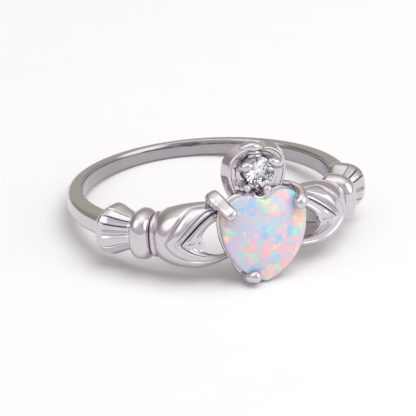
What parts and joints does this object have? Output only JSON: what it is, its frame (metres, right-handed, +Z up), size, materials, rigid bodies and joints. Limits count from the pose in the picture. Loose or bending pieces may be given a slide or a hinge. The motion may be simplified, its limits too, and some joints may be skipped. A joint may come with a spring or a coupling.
{
  "type": "claddagh ring",
  "caption": "Silver claddagh ring with hands that hold a heart-shaped opal, and a round clear stone in the crown above it, lying on its side",
  "frame": {"origin": "middle of the base of the part's box, on the surface that the ring lies on", "axes": "+Z up from the surface, -Y the way the heart faces, +X to the right of a viewer who faces the heart; the finger's axis leans 8.0 degrees from +Z towards +Y"},
  "size_m": [0.0198, 0.0214, 0.0091],
  "materials": {
    "silver": "polished rhodium-plated silver",
    "opal": "polished opal with soft colour patches",
    "clear_stone": "faceted and polished"
  },
  "bodies": {
    "root": {"ring_body": "silver", "heart_opal": "opal", "crown_stone": "clear_stone"}
  },
  "joints": []
}
